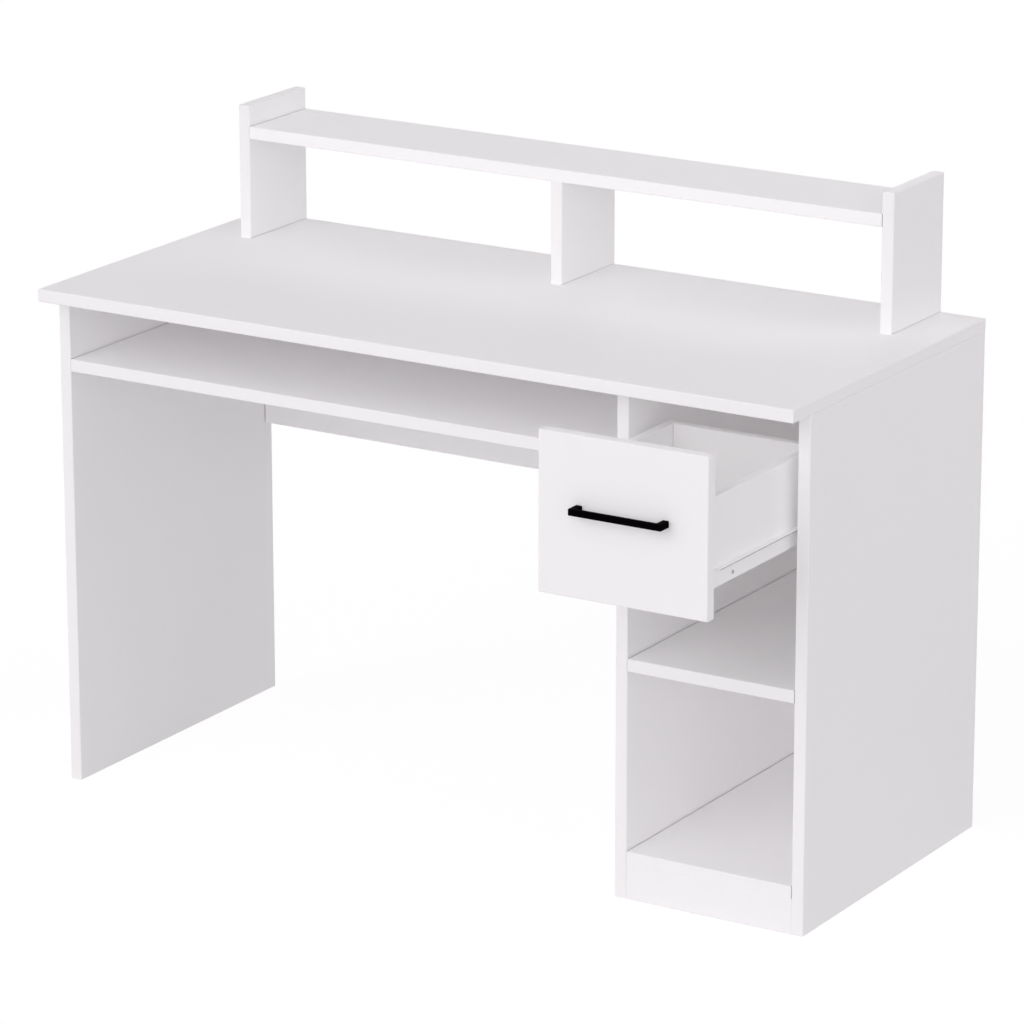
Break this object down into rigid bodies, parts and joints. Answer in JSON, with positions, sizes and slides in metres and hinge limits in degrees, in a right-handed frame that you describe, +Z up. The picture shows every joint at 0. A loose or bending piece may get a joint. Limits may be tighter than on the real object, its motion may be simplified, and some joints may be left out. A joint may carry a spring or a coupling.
{
  "type": "student desk with hutch",
  "caption": "White board student desk with a low hutch, a keyboard shelf, an open pedestal and a roller-runner drawer with a black bar pull.",
  "frame": {"origin": "on the floor, under the middle of the desk's box with the drawer fully open", "axes": "+X to the right along the desk's width, +Y from the front to the back, +Z up"},
  "size_m": [1.2, 0.751, 0.934],
  "materials": {
    "white_board": "white melamine-faced board, satin",
    "white_hardboard": "white lacquered hardboard",
    "beech": "raw beech dowel",
    "zinc_steel": "bright zinc plate",
    "white_steel": "white epoxy coat",
    "white_nylon": "natural nylon",
    "black_metal": "matte black coat"
  },
  "bodies": {
    "desk": {"top_panel": "white_board", "left_side_panel": "white_board", "right_side_panel": "white_board", "pedestal_divider": "white_board", "keyboard_shelf": "white_board", "modesty_panel": "white_board", "pedestal_middle_shelf": "white_board", "pedestal_bottom_shelf": "white_board", "plinth": "white_board", "hutch_left_panel": "white_board", "hutch_right_panel": "white_board", "hutch_divider": "white_board", "hutch_shelf": "white_board", "pedestal_back_panel": "white_hardboard", "left_cabinet_runner": "white_steel", "right_cabinet_runner": "white_steel", "carcass_dowels": "beech", "cam_bolts": "zinc_steel", "cam_discs": "zinc_steel", "hutch_screws": "zinc_steel", "cabinet_roller_pins": "zinc_steel", "cabinet_runner_screws": "zinc_steel"},
    "drawer": {"drawer_front": "white_board", "drawer_left_side": "white_board", "drawer_right_side": "white_board", "drawer_back": "white_board", "drawer_bottom": "white_hardboard", "left_drawer_runner": "white_steel", "right_drawer_runner": "white_steel", "drawer_handle": "black_metal", "drawer_dowels": "beech", "drawer_roller_pins": "zinc_steel", "drawer_runner_screws": "zinc_steel", "handle_screws": "zinc_steel"},
    "left_cabinet_roller": {"left_cabinet_roller": "white_nylon"},
    "right_cabinet_roller": {"right_cabinet_roller": "white_nylon"},
    "left_drawer_roller": {"left_drawer_roller": "white_nylon"},
    "right_drawer_roller": {"right_drawer_roller": "white_nylon"}
  },
  "joints": [
    {"name": "drawer_slide", "type": "slide", "parent": "desk", "child": "drawer", "axis": [0, -1, 0], "range_m": [-0.232, 0]},
    {"name": "left_cabinet_roller_spin", "type": "hinge", "parent": "desk", "child": "left_cabinet_roller", "pos_m": [0.33425, -0.0865, 0.5499], "axis": [1, 0, 0], "range_deg": [-1440, 1440]},
    {"name": "left_drawer_roller_spin", "type": "hinge", "parent": "drawer", "child": "left_drawer_roller", "pos_m": [0.33425, -0.0455, 0.5478], "axis": [1, 0, 0], "range_deg": [-2160, 2160]},
    {"name": "right_cabinet_roller_spin", "type": "hinge", "parent": "desk", "child": "right_cabinet_roller", "pos_m": [0.57575, -0.0865, 0.5499], "axis": [1, 0, 0], "range_deg": [-1440, 1440]},
    {"name": "right_drawer_roller_spin", "type": "hinge", "parent": "drawer", "child": "right_drawer_roller", "pos_m": [0.57575, -0.0455, 0.5478], "axis": [1, 0, 0], "range_deg": [-2160, 2160]}
  ],
  "couplings": [
    {"joint": "left_cabinet_roller_spin", "follows": "drawer_slide", "rad_per_m": 100},
    {"joint": "left_drawer_roller_spin", "follows": "drawer_slide", "rad_per_m": -142.86},
    {"joint": "right_cabinet_roller_spin", "follows": "drawer_slide", "rad_per_m": 100},
    {"joint": "right_drawer_roller_spin", "follows": "drawer_slide", "rad_per_m": -142.86}
  ]
}
